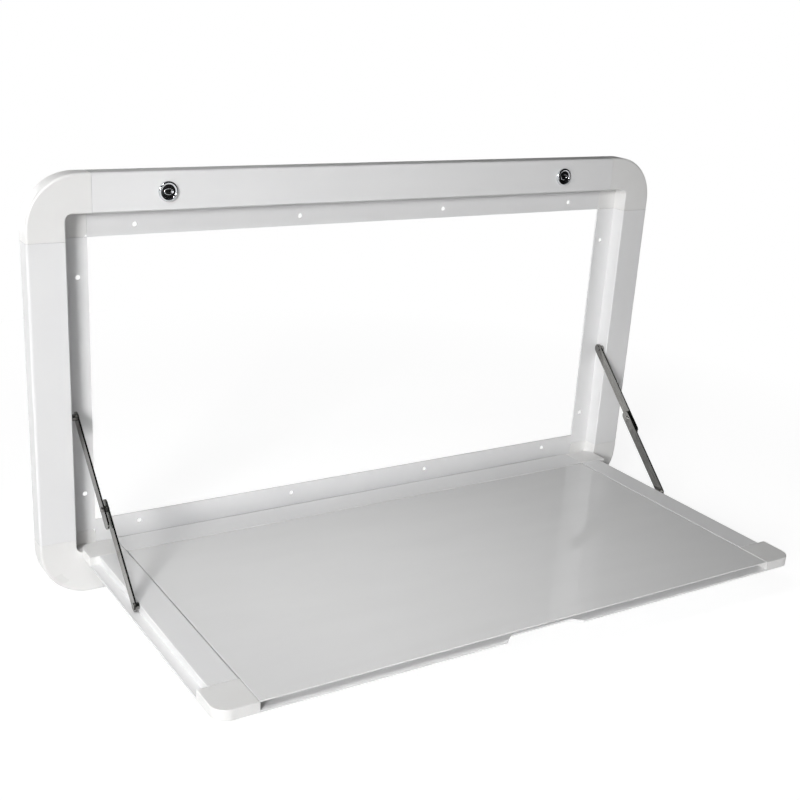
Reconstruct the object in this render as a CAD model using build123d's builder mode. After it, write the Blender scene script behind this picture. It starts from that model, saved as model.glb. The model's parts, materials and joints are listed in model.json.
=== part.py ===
# Fold-down caravan picnic table: a flanged wall frame, a drop leaf on a piano hinge,
# a pair of folding stays and a pair of keyed cam locks. The leaf is modelled open.
# Millimetres. The wall is the plane y = 0, the frame stands out of it towards -Y, +Z is up.
import os
from math import atan2, hypot, sqrt, tan

from build123d import *

# Wall frame
opening_w = 800.0       # between the side rails' inner walls
opening_h = 403.0       # between the top and bottom rails' inner walls
face_w = 43.5           # width of the frame's front face, at the top and sides
sill_w = 53.0           # width of the front face at the bottom
frame_d = 23.0          # how far the face stands out from the wall
rail_wall = 2.0         # thickness of the rails, corners and lips
lip_w = 30.0            # screw lip that runs round inside the opening
outer_r = 60.0          # outer corner of the frame
opening_r = 8.0         # inner corner of the frame's face
edge_r = 3.0            # rounded outer edge of the face
inner_edge = 1.0        # bevelled inner edge of the face
lip_corner_r = 5.0      # inner corner of a corner piece's lip
low_lip = 17.5          # height of the lip in the bottom corner pieces
seam = 0.3              # joint line between pieces that butt together
fit = 0.25              # clearance of a spigot in its rail
bulkhead = 4.0          # rib that closes a corner piece where a rail butts on it
spigot_len = 24.0       # how far a corner piece's spigot reaches into a rail
spigot_wall = 2.5
spigot_back = 1.0       # spigots stop this far short of the wall
screw_r = 3.0           # screw holes through the lip
screw_inset = 11.5      # screw holes from the lip's free edge
screw_pitch = 209.7     # screw spacing along the top and bottom lips
screw_row = 4           # screws in the top and bottom lips
side_screw_z = 131.3    # side lips' screws over and under the frame's middle

# Piano hinge
knuckle_r = 2.1
knuckle_gap = 0.25      # knuckles clear the bottom rail by this
knuckle_pitch = 76.0
knuckle_play = 0.4      # between neighbouring knuckles
pin_r = 1.0
pin_play = 0.15         # radial clearance of the pin
pin_depth = 7.05        # pin axis behind the face, and the same height over the leaf's underside
hinge_leaf_t = 1.0
hinge_inset = 6.0       # each hinge end stops short of the rear corner block
frame_leaf_w = 13.4     # hinge leaf on the bottom rail, from the pin axis
rivet_r = 1.5
rivet_head_r = 2.4
rivet_head_t = 0.8
snug = 0.05             # clearance of a rivet, pin or lock body set in its hole
rivet_pitch = 200.0
rivet_row = 4           # rivets in each hinge leaf
frame_rivet_y = 9.6     # hinge rivets behind the pin axis, on the bottom rail

# Drop leaf
leaf_t = 12.0
leaf_wall = 2.0         # walls, shelves and ledges of the leaf's rails
leaf_side_gap = 5.2     # closed leaf to the side rails
leaf_top_gap = 2.1      # closed leaf to the top rail
leaf_face_gap = 0.5     # open leaf to the frame's front face
leaf_overhang = 0.35    # rear flange behind the pin axis
flange_t = 2.8          # rear flange that lies over the hinge
ledge_w = 11.3          # thin ledge outside the side rails, below the stays
strip_w = 32.7          # flat top of the side rails
rear_rail_w = 30.7
shelf_w = 12.0          # shelf under the panel's edge
groove = 1.8            # groove round the panel
front_block_len = 47.5
front_block_r = 17.5
rear_block_r = 14.0
block_edge_r = 1.0
leaf_spigot = 20.0
skin_t = 1.2            # top skin of the panel, carried on over the front rail
skin_setback = 1.5      # skin's front edge behind the leaf's front
channel_d = 16.5        # depth of the channel along the leaf's front edge
channel_seat_t = 1.5    # seat for the skin along the top of the channel's web
channel_seat_w = 5.0
panel_edge = 0.5        # bevelled top edge of the panel
notch_w = 84.0          # finger notch in the channel's lower flange, at its bottom
notch_flare = 12.0      # each end of the notch widens by this towards the front
notch_d = 10.5
notch_r = 5.0

# Folding stays
stay_reach = 165.6      # stay pivots from the hinge axis, up the frame and out along the leaf
stay_offset = 2.25      # stay pivots behind the hinge axis on the frame, above it on the leaf
arm_w = 13.0
arm_t = 2.0
arm_gap = 2.6           # between the upper and the lower arm
upper_tail = 17.5       # upper arm past the knee, to the centre of its rounded end
lower_tail = 5.0        # lower arm past the knee, to the centre of its rounded end
table_bush = 3.5        # bush that holds the lower arm off the leaf's side rail
stud_r = 2.0
stud_play = 0.15
stud_bush_r = 4.0
stud_head_r = 3.9
stud_head_t = 0.9
stud_root = 3.0         # how deep the leaf's stud is set in its rail
pivot_play = 0.2        # an arm to the bush, head or collar beside it
knee_head_t = 1.5
knee_top_r = 2.7        # flat top of the knee rivet's head

# Cam locks
lock_inset = 117.0      # locks from the side rails' inner walls
lock_rise = 21.0        # locks over the opening's edge
bezel_r = 11.5
bezel_h = 3.2
bezel_edge = 1.6
barrel_r = 9.0
barrel_len = 11.5       # lock body behind the frame's face
plug_r = 7.6
plug_play = 0.1
plug_recess = 0.9       # key face below the bezel's rim
key_slot_l = 8.0
key_slot_w = 1.6
key_slot_d = 3.0
tail_w = 7.0            # square tail that carries the cam
nut_flats = 22.0
nut_t = 3.5
cam_w = 12.0
cam_t = 2.0
cam_reach = 31.0
cam_root = 8.0
cam_tip_r = 4.0
cam_depth = 4.2         # front of the cam's tip behind the frame's face
cam_run = 2.8           # length of the cam's crank
cam_clear = 0.8
cam_screw_r = 1.9
cam_screw_head_r = 6.0  # wide enough to hold the cam on its square tail
cam_screw_head_t = 2.0
cam_screw_len = 6.0

# Places that follow from the sizes above
half_w = opening_w / 2
half_h = opening_h / 2
lip_x = half_w - lip_w
lip_z = half_h - lip_w
out_x = half_w + face_w
low_seam_z = half_h - low_lip
middle_z = (face_w - sill_w) / 2
front_y = -frame_d

hinge_y = front_y + pin_depth
hinge_z = -half_h + knuckle_r + knuckle_gap
leaf_low = hinge_z - pin_depth
leaf_top = leaf_low + leaf_t
shelf_z = leaf_low + leaf_wall
leaf_x = half_w - leaf_side_gap
leaf_front = hinge_y - (half_h - hinge_z - leaf_top_gap)
leaf_back = hinge_y + leaf_overhang
body_back = front_y - leaf_face_gap
rear_front = body_back - rear_rail_w
step_x = leaf_x - ledge_w
rail_x = step_x - strip_w
shelf_x = rail_x - shelf_w
panel_x = rail_x - groove
panel_back = rear_front - groove
block_x = panel_x + seam
block_back = leaf_front + front_block_len
web_front = leaf_front + channel_d
web_back = web_front + leaf_wall
skin_z = leaf_top - skin_t

frame_pivot_y = hinge_y + stay_offset
frame_pivot_z = hinge_z + stay_reach
table_pivot_y = hinge_y - stay_reach
table_pivot_z = hinge_z + stay_offset
arm_len = hypot(table_pivot_y - frame_pivot_y, table_pivot_z - frame_pivot_z) / 2
knee_y = (frame_pivot_y + table_pivot_y) / 2
knee_z = (frame_pivot_z + table_pivot_z) / 2
lower_in = step_x + table_bush
lower_out = lower_in + arm_t
upper_in = lower_out + arm_gap
upper_out = upper_in + arm_t

lock_x = half_w - lock_inset
lock_z = half_h + lock_rise
nut_r = nut_flats / sqrt(3)
cam_root_y = front_y + barrel_len + cam_clear / 2
cam_tip_y = front_y + cam_depth
crank_x = nut_r + cam_clear
crank_drop = cam_root_y - cam_tip_y
crank_lead = cam_t * tan(atan2(crank_drop, cam_run) / 2)
slot_near = cam_w / 2 + cam_clear
slot_far = sqrt(cam_reach**2 + (cam_w / 2) ** 2 - (lock_rise - rail_wall) ** 2) + cam_clear

os.makedirs("parts", exist_ok=True)


def span(low, high, mode=Mode.ADD):
    """Draw a rectangle between two opposite corners of the current sketch."""
    with Locations(((low[0] + high[0]) / 2, (low[1] + high[1]) / 2)):
        Rectangle(high[0] - low[0], high[1] - low[1], mode=mode)


def save(piece, name):
    """Label a finished piece and write its STEP file."""
    piece.part.label = name
    export_step(piece.part, f"parts/{name}.step")


def save_pair(right, name):
    """Write a right-hand piece and its mirror image on the left."""
    with BuildPart() as left:
        mirror(right.part, about=Plane.YZ)
    save(right, f"{name}_right")
    save(left, f"{name}_left")


def rail_section(width):
    """Folded section of a frame rail, drawn outward from the opening's edge and out from the wall."""
    with BuildSketch() as section:
        with BuildLine():
            Polyline(
                (-lip_w, 0),
                (rail_wall, 0),
                (rail_wall, frame_d - rail_wall),
                (width - rail_wall, frame_d - rail_wall),
                (width - rail_wall, 0),
                (width, 0),
                (width, frame_d),
                (0, frame_d),
                (0, rail_wall),
                (-lip_w, rail_wall),
                close=True,
            )
        make_face()
        fillet(section.vertices().sort_by_distance((width, frame_d))[0], edge_r)
        chamfer(section.vertices().sort_by_distance((0, frame_d))[0], inner_edge)
    return section.sketch


slim_section = rail_section(face_w)
sill_section = rail_section(sill_w)

# Top rail, with the lock holes in its face and the cam slots in its inner wall
with BuildPart() as top_rail:
    with BuildSketch(Plane(origin=(0, 0, half_h), x_dir=(0, 0, 1), z_dir=(1, 0, 0))):
        add(slim_section)
    extrude(amount=lip_x, both=True)
    with BuildSketch(Plane.XZ):
        with Locations((0, lip_z + screw_inset)):
            with GridLocations(screw_pitch, screw_pitch, screw_row, 1):
                Circle(screw_r)
    extrude(amount=rail_wall, mode=Mode.SUBTRACT)
    with BuildSketch(Plane.XZ.offset(frame_d)):
        with Locations((-lock_x, lock_z), (lock_x, lock_z)):
            Circle(barrel_r + snug)
    extrude(amount=-rail_wall, mode=Mode.SUBTRACT)
    with BuildSketch(Plane.XY.offset(half_h)):
        slot_y0 = cam_tip_y - cam_clear
        slot_y1 = cam_tip_y + cam_t + cam_clear
        span((-lock_x - slot_near, slot_y0), (-lock_x + slot_far, slot_y1))
        span((lock_x - slot_far, slot_y0), (lock_x + slot_near, slot_y1))
    extrude(amount=rail_wall, mode=Mode.SUBTRACT)
save(top_rail, "frame_top_rail")

# Bottom rail, with the hinge rivet holes in its inner wall
with BuildPart() as bottom_rail:
    with BuildSketch(Plane(origin=(0, 0, -half_h), x_dir=(0, 0, -1), z_dir=(-1, 0, 0))):
        add(sill_section)
    extrude(amount=lip_x, both=True)
    with BuildSketch(Plane.XZ):
        with Locations((0, -lip_z - screw_inset)):
            with GridLocations(screw_pitch, screw_pitch, screw_row, 1):
                Circle(screw_r)
    extrude(amount=rail_wall, mode=Mode.SUBTRACT)
    with BuildSketch(Plane.XY.offset(-half_h)):
        with Locations((0, hinge_y + frame_rivet_y)):
            with GridLocations(rivet_pitch, rivet_pitch, rivet_row, 1):
                Circle(rivet_r + snug)
    extrude(amount=-rail_wall, mode=Mode.SUBTRACT)
save(bottom_rail, "frame_bottom_rail")

# Side rails, with the stay stud's hole in the inner wall
with BuildPart() as side_rail:
    with BuildSketch(Plane(origin=(half_w, 0, lip_z), x_dir=(1, 0, 0), z_dir=(0, 0, -1))):
        add(slim_section)
    extrude(amount=lip_z + low_seam_z)
    with BuildSketch(Plane.XZ):
        with Locations((lip_x + screw_inset, middle_z)):
            with GridLocations(side_screw_z, side_screw_z * 2, 1, 2):
                Circle(screw_r)
    extrude(amount=rail_wall, mode=Mode.SUBTRACT)
    with BuildSketch(Plane.YZ.offset(half_w)):
        with Locations((frame_pivot_y, frame_pivot_z)):
            Circle(stud_r + snug)
    extrude(amount=rail_wall, mode=Mode.SUBTRACT)
save_pair(side_rail, "frame_side_rail")

def corner_piece(width, seam_z):
    """Top right corner: the rails' section carried round, with a spigot for each rail it joins.

    The width is that of the face along the top or bottom, and the side rail butts at the seam."""
    outer_z = half_h + width
    rib_x = lip_x + seam + bulkhead
    rib_z = seam_z + seam + bulkhead
    with BuildPart() as hollow:
        with BuildSketch(Plane.XZ) as hollow_plan:
            span((rib_x, rib_z), (out_x - rail_wall, outer_z - rail_wall))
            fillet(hollow_plan.vertices().sort_by_distance((out_x, outer_z))[0], outer_r - rail_wall)
            span((rib_x, rib_z), (half_w + rail_wall, half_h + rail_wall), mode=Mode.SUBTRACT)
        extrude(amount=frame_d - rail_wall)
    with BuildPart() as corner:
        with BuildSketch(Plane.XZ) as plan:
            span((lip_x + seam, seam_z + seam), (out_x, outer_z))
            fillet(plan.vertices().sort_by_distance((out_x, outer_z))[0], outer_r)
            fillet(plan.vertices().sort_by_distance((lip_x, seam_z))[0], lip_corner_r)
        extrude(amount=frame_d)
        rim = corner.faces().sort_by(Axis.Y)[0].edges()
        rim = rim.filter_by(lambda e: min((e @ 0.5).X - lip_x, (e @ 0.5).Z - seam_z) > lip_corner_r)
        fillet(rim, edge_r)
        with BuildSketch(Plane.XZ.offset(rail_wall)) as pocket:
            span((lip_x, seam_z), (half_w, half_h))
            fillet(pocket.vertices().sort_by_distance((half_w, half_h))[0], opening_r)
        extrude(amount=frame_d - rail_wall, mode=Mode.SUBTRACT)
        mouth = corner.faces().sort_by(Axis.Y)[0].edges()
        mouth = mouth.filter_by(lambda e: (e @ 0.5).X < half_w + seam and (e @ 0.5).Z < half_h + seam)
        chamfer(mouth, inner_edge)
        add(hollow.part, mode=Mode.SUBTRACT)
        near = rail_wall + fit
        with BuildSketch(Plane.XZ.offset(spigot_back)):
            span((lip_x - spigot_len, half_h + near), (lip_x + seam, outer_z - near))
            span((half_w + near, seam_z - spigot_len), (out_x - near, seam_z + seam))
        extrude(amount=frame_d - rail_wall - fit - spigot_back)
        with BuildSketch(Plane.XZ):
            inner = near + spigot_wall
            end = spigot_len - spigot_wall
            span((lip_x - end, half_h + inner), (lip_x + seam, outer_z - inner))
            span((half_w + inner, seam_z - end), (out_x - inner, seam_z + seam))
        extrude(amount=frame_d - rail_wall - fit - spigot_wall, mode=Mode.SUBTRACT)
    return corner


save_pair(corner_piece(face_w, lip_z), "frame_corner_top")
with BuildPart() as low_corner:
    mirror(corner_piece(sill_w, low_seam_z).part, about=Plane.XY)
save_pair(low_corner, "frame_corner_bottom")

# Piano hinge: two leaves with interleaved knuckles on one pin
hinge_half = rail_x - hinge_inset
knuckle_count = 2 * int(hinge_half / knuckle_pitch) + 1
knuckle_step = 2 * hinge_half / knuckle_count
clear_of_knuckle = knuckle_r + knuckle_play
table_rivet_y = clear_of_knuckle + rivet_head_r
table_leaf_w = pin_depth + leaf_face_gap - seam
rivet_xs = [rivet_pitch * (i - (rivet_row - 1) / 2) for i in range(rivet_row)]


def hinge_leaf(side, first, width, low):
    """A hinge leaf that reaches to one side of the pin, with every second knuckle on it."""
    with BuildPart() as leaf:
        with BuildSketch(Plane.YZ):
            near = hinge_y + side * clear_of_knuckle
            far = hinge_y + side * width
            span((min(near, far), low), (max(near, far), low + hinge_leaf_t))
        extrude(amount=hinge_half, both=True)
        for i in range(first, knuckle_count, 2):
            start = -hinge_half + i * knuckle_step + knuckle_play / 2
            with BuildSketch(Plane.YZ.offset(start)):
                with Locations((hinge_y, hinge_z)):
                    Circle(knuckle_r)
                near = hinge_y + side * (clear_of_knuckle + hinge_leaf_t)
                span((min(near, hinge_y), low), (max(near, hinge_y), low + hinge_leaf_t))
                with Locations((hinge_y, hinge_z)):
                    Circle(pin_r + pin_play, mode=Mode.SUBTRACT)
            extrude(amount=knuckle_step - knuckle_play)
    return leaf


frame_leaf_z = hinge_z - knuckle_r
table_leaf_z = hinge_z + knuckle_r - hinge_leaf_t
with BuildPart() as hinge_frame_leaf:
    add(hinge_leaf(1, 0, frame_leaf_w, frame_leaf_z).part)
    with BuildSketch(Plane.XY.offset(frame_leaf_z)):
        with Locations(*[(x, hinge_y + frame_rivet_y) for x in rivet_xs]):
            Circle(rivet_r + snug)
    extrude(amount=hinge_leaf_t, mode=Mode.SUBTRACT)
save(hinge_frame_leaf, "hinge_frame_leaf")

with BuildPart() as hinge_table_leaf:
    add(hinge_leaf(-1, 1, table_leaf_w, table_leaf_z).part)
    with BuildSketch(Plane.XY.offset(table_leaf_z)):
        with Locations(*[(x, hinge_y - table_rivet_y) for x in rivet_xs]):
            Circle(rivet_r + snug)
    extrude(amount=hinge_leaf_t, mode=Mode.SUBTRACT)
save(hinge_table_leaf, "hinge_table_leaf")

with BuildPart() as hinge_pin:
    with BuildSketch(Plane.YZ):
        with Locations((hinge_y, hinge_z)):
            Circle(pin_r)
    extrude(amount=hinge_half, both=True)
save(hinge_pin, "hinge_pin")

# Hinge rivets: a row through the bottom rail, and a row up into the table's flange
with BuildPart() as frame_rivets:
    with Locations(*[(x, hinge_y + frame_rivet_y, frame_leaf_z + hinge_leaf_t) for x in rivet_xs]):
        Cylinder(rivet_head_r, rivet_head_t, align=(Align.CENTER, Align.CENTER, Align.MIN))
        shank = hinge_leaf_t + knuckle_gap + rail_wall
        Cylinder(rivet_r, shank, align=(Align.CENTER, Align.CENTER, Align.MAX))
save(frame_rivets, "hinge_frame_rivets")

table_rivet_depth = flange_t / 2
with BuildPart() as table_rivets:
    with Locations(*[(x, hinge_y - table_rivet_y, table_leaf_z) for x in rivet_xs]):
        Cylinder(rivet_head_r, rivet_head_t, align=(Align.CENTER, Align.CENTER, Align.MAX))
        shank = leaf_top - flange_t + table_rivet_depth - table_leaf_z
        Cylinder(rivet_r, shank, align=(Align.CENTER, Align.CENTER, Align.MIN))
save(table_rivets, "hinge_table_rivets")

# Panel of the leaf: a thick board whose top skin is carried forward over the front rail
with BuildPart() as panel:
    with BuildSketch(Plane.YZ):
        with BuildLine():
            Polyline(
                (panel_back, shelf_z),
                (web_back + seam, shelf_z),
                (web_back + seam, skin_z),
                (leaf_front + skin_setback, skin_z),
                (leaf_front + skin_setback, leaf_top),
                (panel_back, leaf_top),
                close=True,
            )
        make_face()
    extrude(amount=panel_x, both=True)
    chamfer(panel.faces().sort_by(Axis.Z)[-1].edges(), panel_edge)
save(panel, "table_panel")

# Side rails of the leaf: a hollow strip with a shelf under the panel and a ledge under the stays
with BuildPart() as leaf_side_rail:
    with BuildSketch(Plane.XZ.offset(-(rear_front - seam))) as side_profile:
        span((shelf_x, leaf_low), (leaf_x, shelf_z))
        span((rail_x, leaf_low), (step_x, leaf_top))
        fillet(side_profile.vertices().sort_by_distance((step_x, leaf_top))[0], block_edge_r)
        span((rail_x + leaf_wall, shelf_z), (step_x - leaf_wall, leaf_top - leaf_wall), mode=Mode.SUBTRACT)
    extrude(amount=rear_front - block_back - seam * 2)
    with BuildSketch(Plane.YZ.offset(step_x)):
        with Locations((table_pivot_y, table_pivot_z)):
            Circle(stud_r + snug)
    extrude(amount=-stud_root, mode=Mode.SUBTRACT)
save_pair(leaf_side_rail, "table_side_rail")

# Rear rail of the leaf: hollow, with a flange over the hinge and a shelf under the panel
with BuildPart() as rear_rail:
    with BuildSketch(Plane.YZ):
        span((rear_front, leaf_low), (body_back, leaf_top))
        span((rear_front, leaf_top - flange_t), (leaf_back, leaf_top))
        hollow_top = leaf_top - flange_t
        span((rear_front + leaf_wall, shelf_z), (body_back - leaf_wall, hollow_top), mode=Mode.SUBTRACT)
    extrude(amount=rail_x - seam, both=True)
    with BuildSketch(Plane.YZ):
        span((rear_front - shelf_w, leaf_low), (rear_front, shelf_z))
    extrude(amount=shelf_x - seam, both=True)
    with BuildSketch(Plane.XY.offset(leaf_top - flange_t)):
        with Locations(*[(x, hinge_y - table_rivet_y) for x in rivet_xs]):
            Circle(rivet_r + snug)
    extrude(amount=table_rivet_depth, mode=Mode.SUBTRACT)
save(rear_rail, "table_rear_rail")

# Front rail of the leaf: a channel that takes the lock cams, notched for the fingers
with BuildPart() as front_rail:
    with BuildSketch(Plane.YZ):
        span((leaf_front, leaf_low), (web_back + shelf_w, shelf_z))
        span((web_front, leaf_low), (web_back, skin_z))
        span((web_front - channel_seat_w, skin_z - channel_seat_t), (web_back, skin_z))
    extrude(amount=panel_x, both=True)
    with BuildSketch(Plane.XY.offset(leaf_low)) as notch_plan:
        with BuildLine():
            Polyline(
                (-notch_w / 2 - notch_flare, leaf_front),
                (-notch_w / 2, leaf_front + notch_d),
                (notch_w / 2, leaf_front + notch_d),
                (notch_w / 2 + notch_flare, leaf_front),
                close=True,
            )
        make_face()
        fillet(notch_plan.vertices().sort_by(Axis.Y)[-2:], notch_r)
    extrude(amount=leaf_wall, mode=Mode.SUBTRACT)
save(front_rail, "table_front_rail")

# Front corner blocks of the leaf, each with a spigot in the side rail
with BuildPart() as front_block:
    with BuildSketch(Plane.XY.offset(leaf_low)) as front_plan:
        span((block_x, leaf_front), (leaf_x, block_back))
        fillet(front_plan.vertices().sort_by_distance((leaf_x, leaf_front))[0], front_block_r)
    extrude(amount=leaf_t)
    fillet(front_block.faces().sort_by(Axis.Z)[-1].edges(), block_edge_r)
    with BuildSketch(Plane.XZ.offset(-block_back)):
        span(
            (rail_x + leaf_wall + fit, shelf_z + fit),
            (step_x - leaf_wall - fit, leaf_top - leaf_wall - fit),
        )
    extrude(amount=-leaf_spigot)
save_pair(front_block, "table_front_corner")

# Rear corner blocks of the leaf, stepped over the bottom rail, with a spigot in each rail they join
with BuildPart() as rear_block:
    with BuildSketch(Plane.XY.offset(leaf_low)) as rear_plan:
        span((rail_x, rear_front), (leaf_x, leaf_back))
        fillet(rear_plan.vertices().sort_by_distance((leaf_x, leaf_back))[0], rear_block_r)
    extrude(amount=leaf_t)
    fillet(rear_block.faces().sort_by(Axis.Z)[-1].edges(), block_edge_r)
    with BuildSketch(Plane.XY.offset(leaf_low)):
        span((rail_x, body_back), (leaf_x, leaf_back))
    extrude(amount=leaf_t - flange_t, mode=Mode.SUBTRACT)
    with BuildSketch(Plane.XZ.offset(-rear_front)):
        span(
            (rail_x + leaf_wall + fit, shelf_z + fit),
            (step_x - leaf_wall - fit, leaf_top - leaf_wall - fit),
        )
    extrude(amount=leaf_spigot)
    with BuildSketch(Plane.YZ.offset(rail_x)):
        span(
            (rear_front + leaf_wall + fit, shelf_z + fit),
            (body_back - leaf_wall - fit, leaf_top - flange_t - fit),
        )
    extrude(amount=-leaf_spigot)
save_pair(rear_block, "table_rear_corner")


def turned(outline, y, z):
    """Turn a closed outline of (x, radius) points about an axis along X."""
    with BuildPart() as piece:
        with BuildSketch(Plane(origin=(0, y, z), x_dir=(1, 0, 0), z_dir=(0, -1, 0))):
            with BuildLine():
                Polyline(*outline, close=True)
            make_face()
        revolve(axis=Axis((0, y, z), (1, 0, 0)))
    return piece


# Stay studs: the frame's carries the upper arm, the leaf's carries the lower arm
frame_stud = turned(
    [
        (half_w + rail_wall + stud_head_t, 0),
        (half_w + rail_wall + stud_head_t, stud_head_r),
        (half_w + rail_wall, stud_head_r),
        (half_w + rail_wall, stud_r),
        (half_w, stud_r),
        (half_w, stud_bush_r),
        (upper_out + pivot_play, stud_bush_r),
        (upper_out + pivot_play, stud_r),
        (upper_in - pivot_play, stud_r),
        (upper_in - pivot_play, stud_head_r),
        (upper_in - pivot_play - stud_head_t, stud_head_r),
        (upper_in - pivot_play - stud_head_t, 0),
    ],
    frame_pivot_y,
    frame_pivot_z,
)
save_pair(frame_stud, "stay_frame_stud")

table_stud = turned(
    [
        (step_x - stud_root, 0),
        (step_x - stud_root, stud_r),
        (step_x, stud_r),
        (step_x, stud_bush_r),
        (lower_in - pivot_play, stud_bush_r),
        (lower_in - pivot_play, stud_r),
        (lower_out + pivot_play, stud_r),
        (lower_out + pivot_play, stud_head_r),
        (lower_out + pivot_play + stud_head_t, stud_head_r),
        (lower_out + pivot_play + stud_head_t, 0),
    ],
    table_pivot_y,
    table_pivot_z,
)
save_pair(table_stud, "stay_table_stud")


def stay_arm(pivot, x, tail):
    """A flat arm from its pivot to the knee and a little past it, with a hole at each joint."""
    along = (0, knee_y - pivot[0], knee_z - pivot[1])
    plane = Plane(origin=(x, pivot[0], pivot[1]), x_dir=along, z_dir=(1, 0, 0))
    with BuildPart() as arm:
        with BuildSketch(plane):
            with Locations(((arm_len + tail) / 2, 0)):
                SlotCenterToCenter(arm_len + tail, arm_w)
            Circle(stud_r + stud_play, mode=Mode.SUBTRACT)
            with Locations((arm_len, 0)):
                Circle(stud_r + snug, mode=Mode.SUBTRACT)
        extrude(amount=arm_t)
    return arm


upper_arm = stay_arm((frame_pivot_y, frame_pivot_z), upper_in, upper_tail)
save_pair(upper_arm, "stay_upper_arm")
lower_arm = stay_arm((table_pivot_y, table_pivot_z), lower_in, lower_tail)
save_pair(lower_arm, "stay_lower_arm")

# Knee rivet in two halves, one on each arm
knee_rivet = turned(
    [
        (upper_out + knee_head_t, 0),
        (upper_out + knee_head_t, knee_top_r),
        (upper_out, stud_head_r),
        (upper_out, stud_r),
        (upper_in, stud_r),
        (upper_in, stud_head_r),
        (lower_out + pivot_play, stud_head_r),
        (lower_out + pivot_play, 0),
    ],
    knee_y,
    knee_z,
)
save_pair(knee_rivet, "stay_knee_rivet")

knee_button = turned(
    [
        (lower_in - knee_head_t, 0),
        (lower_in - knee_head_t, knee_top_r),
        (lower_in, stud_head_r),
        (lower_in, stud_r),
        (lower_out, stud_r),
        (lower_out, 0),
    ],
    knee_y,
    knee_z,
)
save_pair(knee_button, "stay_knee_button")

# Cam lock on the right, its cam lying level inside the top rail and pointing to the middle
lock_plane = Plane(origin=(lock_x, 0, lock_z), x_dir=(1, 0, 0), z_dir=(0, 0, 1))
lock_axis = Axis((lock_x, 0, lock_z), (0, 1, 0))
bezel_y = front_y - bezel_h
barrel_y = front_y + barrel_len
bore_r = plug_r + plug_play
with BuildPart() as lock_housing:
    with BuildSketch(lock_plane) as housing_profile:
        span((bore_r, bezel_y), (bezel_r, front_y))
        span((bore_r, bezel_y), (barrel_r, barrel_y))
        chamfer(housing_profile.vertices().sort_by_distance((bezel_r, bezel_y))[0], bezel_edge)
        chamfer(housing_profile.vertices().sort_by_distance((bore_r, bezel_y))[0], plug_recess)
    revolve(axis=lock_axis)
save_pair(lock_housing, "lock_housing")

with BuildPart() as lock_nut:
    with BuildSketch(Plane.XZ.offset(frame_d - rail_wall)):
        with Locations((lock_x, lock_z)):
            RegularPolygon(nut_r, 6)
            Circle(barrel_r + snug, mode=Mode.SUBTRACT)
    extrude(amount=-nut_t)
save_pair(lock_nut, "lock_nut")

plug_y = bezel_y + plug_recess
tail_y = cam_root_y + cam_t
with BuildPart() as lock_plug:
    with BuildSketch(Plane.XZ.offset(-plug_y)):
        with Locations((lock_x, lock_z)):
            Circle(plug_r)
    extrude(amount=-(cam_root_y - plug_y))
    with BuildSketch(Plane.XZ.offset(-cam_root_y)):
        with Locations((lock_x, lock_z)):
            Rectangle(tail_w, tail_w)
    extrude(amount=-cam_t)
    with BuildSketch(Plane.XZ.offset(-plug_y)):
        with Locations((lock_x, lock_z)):
            SlotOverall(key_slot_l, key_slot_w)
    extrude(amount=-key_slot_d, mode=Mode.SUBTRACT)
    with BuildSketch(Plane.XZ.offset(-tail_y)):
        with Locations((lock_x, lock_z)):
            Circle(cam_screw_r + snug)
    extrude(amount=cam_screw_len, mode=Mode.SUBTRACT)
save_pair(lock_plug, "lock_plug")

# Cam: a flat strip cranked forward past the nut, so that its tip meets the leaf's front channel
with BuildPart() as lock_cam:
    with BuildSketch(lock_plane):
        with BuildLine():
            Polyline(
                (cam_root, cam_root_y),
                (-crank_x, cam_root_y),
                (-crank_x - cam_run, cam_tip_y),
                (-cam_reach, cam_tip_y),
                (-cam_reach, cam_tip_y + cam_t),
                (-crank_x - crank_lead - cam_run, cam_tip_y + cam_t),
                (-crank_x - crank_lead, cam_root_y + cam_t),
                (cam_root, cam_root_y + cam_t),
                close=True,
            )
        make_face()
    extrude(amount=cam_w / 2, both=True)
    fillet(lock_cam.edges().filter_by(Axis.Y).group_by(Axis.X)[0], cam_tip_r)
    fillet(lock_cam.edges().filter_by(Axis.Y).group_by(Axis.X)[-1], cam_tip_r)
    with BuildSketch(Plane.XZ.offset(-cam_root_y)):
        with Locations((lock_x, lock_z)):
            Rectangle(tail_w + 2 * snug, tail_w + 2 * snug)
    extrude(amount=-cam_t, mode=Mode.SUBTRACT)
save_pair(lock_cam, "lock_cam")

with BuildPart() as cam_screw:
    with BuildSketch(Plane.XZ.offset(-tail_y)):
        with Locations((lock_x, lock_z)):
            Circle(cam_screw_r)
    extrude(amount=cam_screw_len)
    with BuildSketch(Plane.XZ.offset(-tail_y)):
        with Locations((lock_x, lock_z)):
            Circle(cam_screw_head_r)
    extrude(amount=-cam_screw_head_t)
save_pair(cam_screw, "lock_cam_screw")
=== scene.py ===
import json
import math

import bpy
from mathutils import Matrix, Vector


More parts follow.
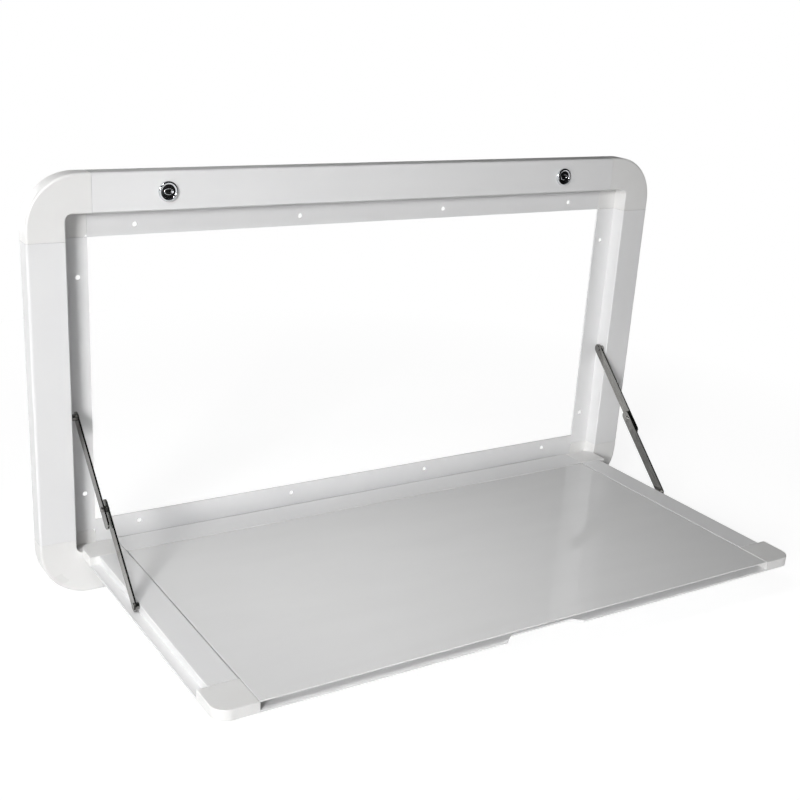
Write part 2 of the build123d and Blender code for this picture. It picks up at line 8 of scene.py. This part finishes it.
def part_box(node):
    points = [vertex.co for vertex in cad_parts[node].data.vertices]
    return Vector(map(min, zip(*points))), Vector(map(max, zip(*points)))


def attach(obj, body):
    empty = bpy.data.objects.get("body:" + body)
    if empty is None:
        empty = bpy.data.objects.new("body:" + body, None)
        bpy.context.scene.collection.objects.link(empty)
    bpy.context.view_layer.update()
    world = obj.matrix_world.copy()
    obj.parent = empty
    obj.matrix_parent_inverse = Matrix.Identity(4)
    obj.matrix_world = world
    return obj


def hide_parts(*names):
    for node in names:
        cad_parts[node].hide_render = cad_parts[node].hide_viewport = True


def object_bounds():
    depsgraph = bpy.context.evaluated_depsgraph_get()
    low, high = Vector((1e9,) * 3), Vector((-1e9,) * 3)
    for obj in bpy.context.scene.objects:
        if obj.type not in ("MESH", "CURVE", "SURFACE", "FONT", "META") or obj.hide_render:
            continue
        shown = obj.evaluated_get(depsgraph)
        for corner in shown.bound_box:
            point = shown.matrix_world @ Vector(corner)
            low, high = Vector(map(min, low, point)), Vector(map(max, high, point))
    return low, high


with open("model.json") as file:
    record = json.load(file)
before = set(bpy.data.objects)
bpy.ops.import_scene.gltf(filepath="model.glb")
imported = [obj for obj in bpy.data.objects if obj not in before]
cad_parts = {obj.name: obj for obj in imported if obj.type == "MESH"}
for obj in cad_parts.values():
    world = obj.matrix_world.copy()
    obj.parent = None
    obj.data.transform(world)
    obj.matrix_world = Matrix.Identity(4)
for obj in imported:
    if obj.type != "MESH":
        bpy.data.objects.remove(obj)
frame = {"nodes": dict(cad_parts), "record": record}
CAD_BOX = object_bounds()
MM = 0.001

# Noise of the finishes: its detail, and the part of its range that the tones and roughness spread over
NOISE_DETAIL = 3.0
NOISE_LOW = 0.15
NOISE_HIGH = 0.85
# Slope of the open stays, from the level
STAY_TILT = math.radians(44.2)

# Lock fronts, in metres, with the number of steps round a ring and along each outline
RING_STEPS = 72
CROWN_STEPS = 14
WIRE_STEPS = 9
DOME_STEPS = 8
SHARP_EDGE = math.radians(35)
CROWN_RISE = 1.5 * MM
BORE_PLAY = 0.1 * MM
BEZEL_LAP = 2.5 * MM
RIM_ACROSS = 5.2 * MM
RIM_UPRIGHT = 3.3 * MM
RIM_WIRE = 0.45 * MM
SHUTTER_R = 1.3 * MM
SHUTTER_RISE = 0.78 * MM
SHUTTER_OFF = 3.4 * MM
# Where the shutter's dome starts, just short of its own axis
DOME_START = -0.49 * math.pi

# Camera that took the photo, worked out from the frame's straight edges; metres in the part's frame
CAMERA_PLACE = Vector((-0.7966, -1.3100, 0.4561))
CAMERA_FORWARD = Vector((0.5112, 0.7852, -0.3495))
CAMERA_RIGHT = Vector((0.8484, -0.5260, 0.0593))
CAMERA_LENS = 54.67
CAMERA_SHIFT = (0.0040, 0.0447)
SENSOR = 36.0

# Studio, in metres: softboxes at the left, over the leaf and behind, and a dark flag at the right
KEY_PLACE = Vector((-4.3, -3.7, 1.6))
KEY_AIM = Vector((0.0, -0.2, -0.05))
KEY_SIZE = 1.45
KEY_WATTS = 258.0
FILL_PLACE = Vector((-0.9, -0.75, 1.2))
FILL_AIM = Vector((-0.1, -0.24, -0.2))
FILL_SIZE = 0.4
FILL_SPREAD = math.radians(46)
FILL_WATTS = 1.0
BACK_PLACE = Vector((-0.8, 2.4, 0.25))
BACK_AIM = Vector((0.0, 0.0, 0.0))
BACK_SIZE = 1.0
BACK_WATTS = 17.0
WORLD_FILL = 0.10
FLOOR_SIZE = 60.0
FLOOR_GAP = 0.0005
FLOOR_NEAR = 0.5
FLOOR_FAR = 1.2
FLOOR_GLOW = 0.86
FLOOR_DULL = 0.3
FLAG_PLACE = Vector((0.95, -0.95, 0.05))
FLAG_AIM = Vector((0.1, 0.0, 0.1))
FLAG_WIDTH = 1.7
FLAG_HEIGHT = 0.62
# Brightness of the sweep over a direction's x, y and z, each from 0 at -1 to 1 at +1
SWEEP_ACROSS = ((0.62, 1.0), (0.84, 0.16))
SWEEP_BEHIND = ((0.55, 0.05), (0.72, 1.0))
SWEEP_HEIGHT = ((0.60, 0.0), (0.66, 1.0), (0.77, 1.0), (0.86, 0.06))


def linear(hex_colour):
    """sRGB hex to the linear RGBA that the shaders take."""
    channels = [int(hex_colour[i : i + 2], 16) / 255 for i in (1, 3, 5)]
    bent = [c / 12.92 if c <= 0.04045 else ((c + 0.055) / 1.055) ** 2.4 for c in channels]
    return (*bent, 1.0)


def add_node(tree, kind, settings=None, values=None, links=None):
    """Add a node, set its properties and input values, and link inputs from other sockets."""
    node = tree.nodes.new(kind)
    for name, value in (settings or {}).items():
        setattr(node, name, value)
    for name, value in (values or {}).items():
        node.inputs[name].default_value = value
    for name, source in (links or {}).items():
        tree.links.new(source, node.inputs[name])
    return node


def new_material(name, **shader_values):
    """A material with one Principled shader, whose constant values are set on its own sockets."""
    material = bpy.data.materials.new(name)
    material.use_nodes = True
    tree = material.node_tree
    shader = tree.nodes["Principled BSDF"]
    for socket, value in shader_values.items():
        shader.inputs[socket.replace("_", " ")].default_value = value
    place = add_node(tree, "ShaderNodeTexCoord").outputs["Object"]
    return material, tree, shader, place


def per_metre(millimetres):
    """Texture scale that gives a pattern this many millimetres from one cell to the next."""
    return 1.0 / (millimetres * MM)


def finish(name, tint, gloss, relief, turn=(0, 0, 0), drawn=(1, 1, 1), **constants):
    """A material of three noises, each led by its size in mm: tones, roughness and relief."""
    material, tree, shader, place = new_material(name, **constants)
    lie = {"Rotation": turn, "Scale": drawn}
    along = add_node(tree, "ShaderNodeMapping", {"vector_type": "TEXTURE"}, lie, {"Vector": place})
    patterns = []
    for size in (tint[0], gloss[0], relief[0]):
        values = {"Scale": per_metre(size), "Detail": NOISE_DETAIL}
        links = {"Vector": along.outputs["Vector"]}
        noise = add_node(tree, "ShaderNodeTexNoise", values=values, links=links)
        patterns.append(noise.outputs["Fac"])
    tones = add_node(tree, "ShaderNodeValToRGB", links={"Fac": patterns[0]})
    ends = (NOISE_LOW, NOISE_HIGH)
    for element, position, tone in zip(tones.color_ramp.elements, ends, tint[1:]):
        element.position = position
        element.color = linear(tone)
    span = {"From Min": NOISE_LOW, "From Max": NOISE_HIGH, "To Min": gloss[1], "To Max": gloss[2]}
    rough = add_node(tree, "ShaderNodeMapRange", values=span, links={"Value": patterns[1]})
    depth = {"Strength": relief[1], "Distance": relief[2] * MM}
    bump = add_node(tree, "ShaderNodeBump", values=depth, links={"Height": patterns[2]})
    tree.links.new(tones.outputs["Color"], shader.inputs["Base Color"])
    tree.links.new(rough.outputs["Result"], shader.inputs["Roughness"])
    tree.links.new(bump.outputs["Normal"], shader.inputs["Normal"])
    return material


def all_finishes():
    """The finish of each material slot."""
    made = {}
    # Powder coat flows out with a faint orange peel: lamps show as soft blobs with a pebbled edge
    tint, gloss, relief = (90, "#e5e5e6", "#eaeaea"), (90, 0.21, 0.27), (2.2, 0.12, 0.03)
    made["powder_coat"] = finish("powder_coat_gloss_white", tint, gloss, relief, IOR=1.5)
    # Spark-eroded tool: a satin skin, a touch warmer and duller than the coated rails beside it
    tint, gloss, relief = (45, "#e4e3e2", "#e9e9e8"), (45, 0.26, 0.36), (0.9, 0.15, 0.02)
    made["corner_moulding"] = finish("abs_moulded_satin_white", tint, gloss, relief, IOR=1.53)
    # Polished platens: nearly a mirror, with wiping marks and a slow ripple that bends what it shows
    tint, gloss, relief = (40, "#dddddd", "#e2e2e2"), (7, 0.010, 0.035), (30, 0.1, 0.05)
    lie = {"drawn": (4, 1, 1), "IOR": 1.49}
    made["panel_board"] = finish("acrylic_capped_sheet_gloss", tint, gloss, relief, **lie)
    # Zinc over slit strip: a grey sheen in fine lines that run along the stays as they stand open
    tint, gloss, relief = (0.5, "#4c4b49", "#b2b1ae"), (0.5, 0.16, 0.30), (0.5, 0.3, 0.01)
    lie = {"turn": (STAY_TILT, 0, 0), "drawn": (1, 25, 1), "Metallic": 1.0}
    made["stay_steel"] = finish("zinc_plated_steel_strip", tint, gloss, relief, **lie)
    # Cold-rolled sheet: a duller steel with lines along the hinge
    tint, gloss, relief = (0.6, "#a0a2a4", "#c4c5c6"), (0.6, 0.26, 0.38), (0.6, 0.3, 0.01)
    lie = {"drawn": (25, 1, 1), "Metallic": 1.0}
    made["hinge_steel"] = finish("rolled_stainless_steel", tint, gloss, relief, **lie)
    # Buffed and plated: a sharp mirror, black where the room is dark and white where it sees a lamp
    tint, gloss, relief = (3, "#cfd1d5", "#dcdde0"), (3, 0.04, 0.08), (3, 0.1, 0.005)
    made["lock_chrome"] = finish("polished_chrome_plate", tint, gloss, relief, Metallic=1.0)
    # Stoved enamel on a die casting: black with a small sharp highlight and faint scratches of keys
    tint, gloss, relief = (0.6, "#050506", "#161617"), (0.6, 0.18, 0.35), (0.6, 0.2, 0.01)
    lie = {"drawn": (1, 1, 5), "IOR": 1.5, "Specular_IOR_Level": 0.2}
    made["lock_plug"] = finish("plug_black_gloss_enamel", tint, gloss, relief, **lie)
    # Passivated zinc: a matt, faintly yellow clouding on the parts that only the back shows
    tint, gloss, relief = (1.2, "#a0a29c", "#c2c3bd"), (1.2, 0.28, 0.42), (1.2, 0.25, 0.01)
    made["lock_zinc"] = finish("passivated_zinc_plate", tint, gloss, relief, Metallic=1.0)
    return made


def dress_nodes(finishes):
    """Give every CAD node the finish of its record slot."""
    slot_of = {s["node"]: s["material_slot"] for s in frame["record"]["subparts"]}
    for name, node in frame["nodes"].items():
        node.data.materials.clear()
        node.data.materials.append(finishes[slot_of[name]])


def ring_mesh(name, outline, x, z, across=0.0, upright=0.0):
    """A loop of (out, y) points carried round an ellipse; its outside runs from front to back."""
    count = len(outline)
    points = []
    for step in range(RING_STEPS):
        angle = 2 * math.pi * step / RING_STEPS
        out_x, out_z = math.cos(angle), math.sin(angle)
        points += [(x + (across + r) * out_x, y, z + (upright + r) * out_z) for r, y in outline]
    faces = []
    for step in range(RING_STEPS):
        here, there = step * count, (step + 1) % RING_STEPS * count
        for i in range(count):
            after = (i + 1) % count
            faces.append((here + i, here + after, there + after, there + i))
    mesh = bpy.data.meshes.new(name)
    mesh.from_pydata(points, [], faces)
    mesh.shade_smooth()
    mesh.set_sharp_from_angle(angle=SHARP_EDGE)
    return mesh


def arc(out, y, wide, deep, start, end, steps):
    """Points on an ellipse about (out, y) between two angles; minus a quarter turn is the front."""
    turns = [start + (end - start) * step / steps for step in range(steps + 1)]
    return [(out + wide * math.cos(t), y + deep * math.sin(t)) for t in turns]


def new_piece(mesh, body, slot, finishes):
    """A piece of the visual that rides a body."""
    piece = bpy.data.objects.new(mesh.name, mesh)
    bpy.context.scene.collection.objects.link(piece)
    mesh.materials.append(finishes[slot])
    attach(piece, body)
    return piece


def lock_front(side, finishes):
    """A spun bezel in place of the plain housing, and the bright rim and shutter of the keyway."""
    (left, front, low), (right, back, high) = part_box("lock_housing_" + side)
    plug_low, plug_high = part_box("lock_plug_" + side)
    x, z = (left + right) / 2, (low + high) / 2
    outer = (right - left) / 2
    bore = (plug_high[0] - plug_low[0]) / 2 + BORE_PLAY
    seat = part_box("frame_top_rail")[0][1]
    wide, mid = (outer - bore) / 2, (outer + bore) / 2
    crown = arc(mid, front + CROWN_RISE, wide, CROWN_RISE, -math.pi, 0.0, CROWN_STEPS)
    barrel = outer - BEZEL_LAP
    outline = crown + [(outer, seat), (barrel, seat), (barrel, back), (bore, back)]
    spun = ring_mesh("lock_bezel_" + side, outline, x, z)
    bezel = new_piece(spun, "frame", "lock_chrome", finishes)
    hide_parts("lock_housing_" + side)
    wire_end = math.pi - 2 * math.pi / (WIRE_STEPS + 1)
    wire = arc(0.0, plug_low[1], RIM_WIRE, RIM_WIRE, -math.pi, wire_end, WIRE_STEPS)
    rim = ring_mesh("keyway_rim_" + side, wire, x, z, RIM_ACROSS, RIM_UPRIGHT)
    new_piece(rim, "lock_" + side, "lock_chrome", finishes)
    dome = arc(0.0, plug_low[1], SHUTTER_R, SHUTTER_RISE, DOME_START, 0.0, DOME_STEPS)
    dome.append((dome[0][0], plug_low[1]))
    ball = ring_mesh("keyway_shutter_" + side, dome, x + SHUTTER_OFF, z)
    new_piece(ball, "lock_" + side, "lock_chrome", finishes)


def aim(thing, place, target):
    """Stand a lamp or card at a place, with its -Z axis towards a target."""
    thing.location = place
    thing.rotation_euler = (target - place).to_track_quat("-Z", "Y").to_euler()


def seen_ray(tree):
    """Two masks: seen by the camera, in a reflection or through glass, and by the camera alone."""
    path = add_node(tree, "ShaderNodeLightPath")
    seen = path.outputs["Is Camera Ray"]
    for name in ("Is Glossy Ray", "Is Transmission Ray"):
        links = {0: seen, 1: path.outputs[name]}
        seen = add_node(tree, "ShaderNodeMath", {"operation": "MAXIMUM"}, links=links).outputs[0]
    return seen, path.outputs["Is Camera Ray"]


def graded(tree, source, points):
    """A ramp of grey levels over one number."""
    ramp = add_node(tree, "ShaderNodeValToRGB", links={"Fac": source})
    while len(ramp.color_ramp.elements) < len(points):
        ramp.color_ramp.elements.new(0.5)
    for element, (position, level) in zip(ramp.color_ramp.elements, points):
        element.position = position
        element.color = (level, level, level, 1.0)
    return ramp.outputs["Color"]


def white_room(scene):
    """World: white to the camera; what shines sees a bright sweep behind the part in a dark room."""
    world = bpy.data.worlds.new("white_studio")
    scene.world = world
    world.use_nodes = True
    tree = world.node_tree
    tree.nodes.clear()
    way = add_node(tree, "ShaderNodeTexCoord").outputs["Generated"]
    half = {"Scale": (0.5, 0.5, 0.5), "Location": (0.5, 0.5, 0.5)}
    halved = add_node(tree, "ShaderNodeMapping", values=half, links={"Vector": way})
    parts = add_node(tree, "ShaderNodeSeparateXYZ", links={"Vector": halved.outputs["Vector"]})
    sweep = graded(tree, parts.outputs["X"], SWEEP_ACROSS)
    for axis, points in (("Y", SWEEP_BEHIND), ("Z", SWEEP_HEIGHT)):
        links = {0: sweep, 1: graded(tree, parts.outputs[axis], points)}
        product = add_node(tree, "ShaderNodeVectorMath", {"operation": "MULTIPLY"}, links=links)
        sweep = product.outputs[0]
    seen, camera = seen_ray(tree)
    dim = add_node(tree, "ShaderNodeBackground", values={"Color": (1, 1, 1, 1), "Strength": WORLD_FILL})
    mirrored = add_node(tree, "ShaderNodeBackground", values={"Strength": 1.0}, links={"Color": sweep})
    white = add_node(tree, "ShaderNodeBackground", values={"Color": (1, 1, 1, 1), "Strength": 1.0})
    links = {0: camera, 1: mirrored.outputs[0], 2: white.outputs[0]}
    shown = add_node(tree, "ShaderNodeMixShader", links=links)
    links = {0: seen, 1: dim.outputs[0], 2: shown.outputs[0]}
    mix = add_node(tree, "ShaderNodeMixShader", links=links)
    add_node(tree, "ShaderNodeOutputWorld", links={"Surface": mix.outputs[0]})


def sheet(name, width, depth):
    """A flat rectangle of the studio, about its own origin."""
    x, y = width / 2, depth / 2
    mesh = bpy.data.meshes.new(name)
    mesh.from_pydata([(-x, -y, 0), (x, -y, 0), (x, y, 0), (-x, y, 0)], [], [(0, 1, 2, 3)])
    thing = bpy.data.objects.new(name, mesh)
    bpy.context.scene.collection.objects.link(thing)
    return thing


def paper_floor():
    """Seamless white paper: it keeps a faint shadow under the part and fades to white."""
    floor = sheet("floor", FLOOR_SIZE, FLOOR_SIZE)
    floor.location = (0.0, 0.0, CAD_BOX[0][2] - FLOOR_GAP)
    look = {"Roughness": 0.9, "Base_Color": linear("#e6e6e6")}
    paper, tree, shader, place = new_material("paper_floor_white", **look)
    reach = add_node(tree, "ShaderNodeVectorMath", {"operation": "LENGTH"}, links={0: place})
    span = {"From Min": FLOOR_NEAR, "From Max": FLOOR_FAR}
    fade = add_node(tree, "ShaderNodeMapRange", values=span, links={"Value": reach.outputs["Value"]})
    glow = add_node(tree, "ShaderNodeEmission", values={"Color": (1, 1, 1, 1), "Strength": FLOOR_GLOW})
    grey = (FLOOR_DULL, FLOOR_DULL, FLOOR_DULL, 1)
    dull = add_node(tree, "ShaderNodeBsdfDiffuse", values={"Color": grey})
    lit = add_node(tree, "ShaderNodeAddShader", links={0: glow.outputs[0], 1: dull.outputs[0]})
    white = add_node(tree, "ShaderNodeEmission", values={"Color": (1, 1, 1, 1), "Strength": 1.0})
    links = {0: fade.outputs["Result"], 1: lit.outputs[0], 2: white.outputs[0]}
    shown = add_node(tree, "ShaderNodeMixShader", links=links)
    links = {0: seen_ray(tree)[0], 1: shader.outputs[0], 2: shown.outputs[0]}
    mix = add_node(tree, "ShaderNodeMixShader", links=links)
    tree.links.new(mix.outputs[0], tree.nodes["Material Output"].inputs["Surface"])
    floor.data.materials.append(paper)


def dark_flag():
    """Black felt card at the right in front, which only the shining pieces see."""
    card = sheet("flag", FLAG_WIDTH, FLAG_HEIGHT)
    aim(card, FLAG_PLACE, FLAG_AIM)
    felt = new_material("felt_flag_black", Roughness=1.0, Base_Color=linear("#161616"))[0]
    card.data.materials.append(felt)
    card.visible_camera = False
    card.visible_shadow = False
    card.visible_diffuse = False


def studio():
    """White room, paper floor, flag and three softboxes."""
    scene = bpy.context.scene
    scene.view_settings.view_transform = "Standard"
    white_room(scene)
    paper_floor()
    dark_flag()
    for name, place, target, size, spread, watts in (
        ("key_softbox", KEY_PLACE, KEY_AIM, KEY_SIZE, math.pi, KEY_WATTS),
        ("gridded_softbox", FILL_PLACE, FILL_AIM, FILL_SIZE, FILL_SPREAD, FILL_WATTS),
        ("back_softbox", BACK_PLACE, BACK_AIM, BACK_SIZE, math.pi, BACK_WATTS),
    ):
        lamp = bpy.data.lights.new(name, "AREA")
        lamp.size = size
        lamp.spread = spread
        lamp.energy = watts
        holder = bpy.data.objects.new(name, lamp)
        scene.collection.objects.link(holder)
        holder.visible_camera = False
        aim(holder, place, target)


def photo_camera():
    """Camera at the photo's place and angle."""
    camera = bpy.data.cameras.new("photo_camera")
    camera.lens = CAMERA_LENS
    camera.sensor_width = SENSOR
    camera.shift_x, camera.shift_y = CAMERA_SHIFT
    holder = bpy.data.objects.new("photo_camera", camera)
    bpy.context.scene.collection.objects.link(holder)
    ahead = CAMERA_FORWARD.normalized()
    up = CAMERA_RIGHT.cross(ahead).normalized()
    right = ahead.cross(up)
    turn = Matrix((right, up, -ahead)).transposed()
    holder.matrix_world = Matrix.Translation(CAMERA_PLACE) @ turn.to_4x4()
    bpy.context.scene.camera = holder


finishes = all_finishes()
dress_nodes(finishes)
for side in ("left", "right"):
    lock_front(side, finishes)
studio()
photo_camera()
